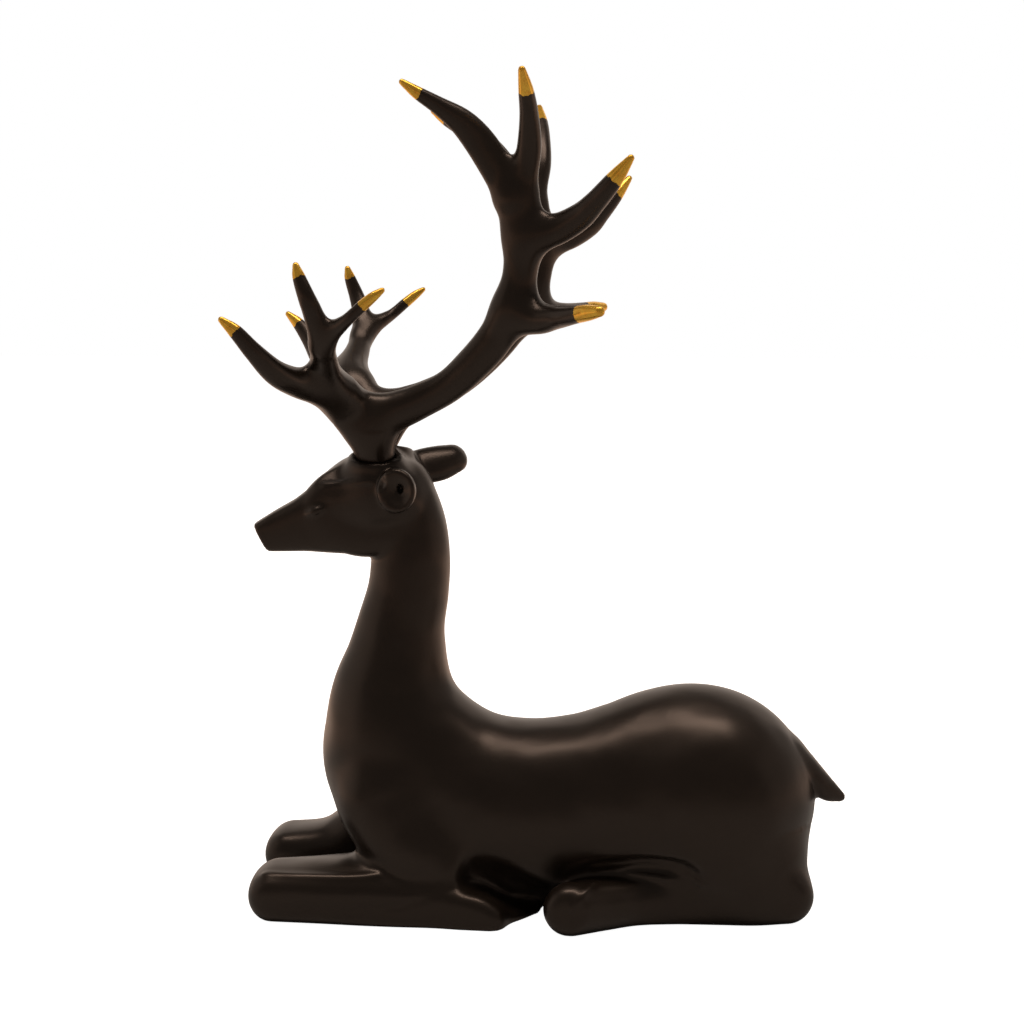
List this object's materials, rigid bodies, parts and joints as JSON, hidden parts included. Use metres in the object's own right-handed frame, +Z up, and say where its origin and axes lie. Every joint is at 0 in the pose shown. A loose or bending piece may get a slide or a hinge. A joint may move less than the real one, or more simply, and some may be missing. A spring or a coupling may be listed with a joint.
{
  "type": "reclining stag statuette",
  "caption": "Reclining stag statuette with folded legs, upright neck and two branching antlers; it stands by its own weight on a flat underside.",
  "frame": {"origin": "on the ground plane, under the middle of the whole statuette's bounding box", "axes": "+Z up, -X the way the stag faces, -Y its left side, the side seen in the picture"},
  "size_m": [0.2963, 0.152, 0.3993],
  "materials": {
    "black_lacquer": "satin"
  },
  "bodies": {
    "root": {"stag_body": "black_lacquer", "antler_left": "black_lacquer", "antler_right": "black_lacquer"}
  },
  "joints": []
}
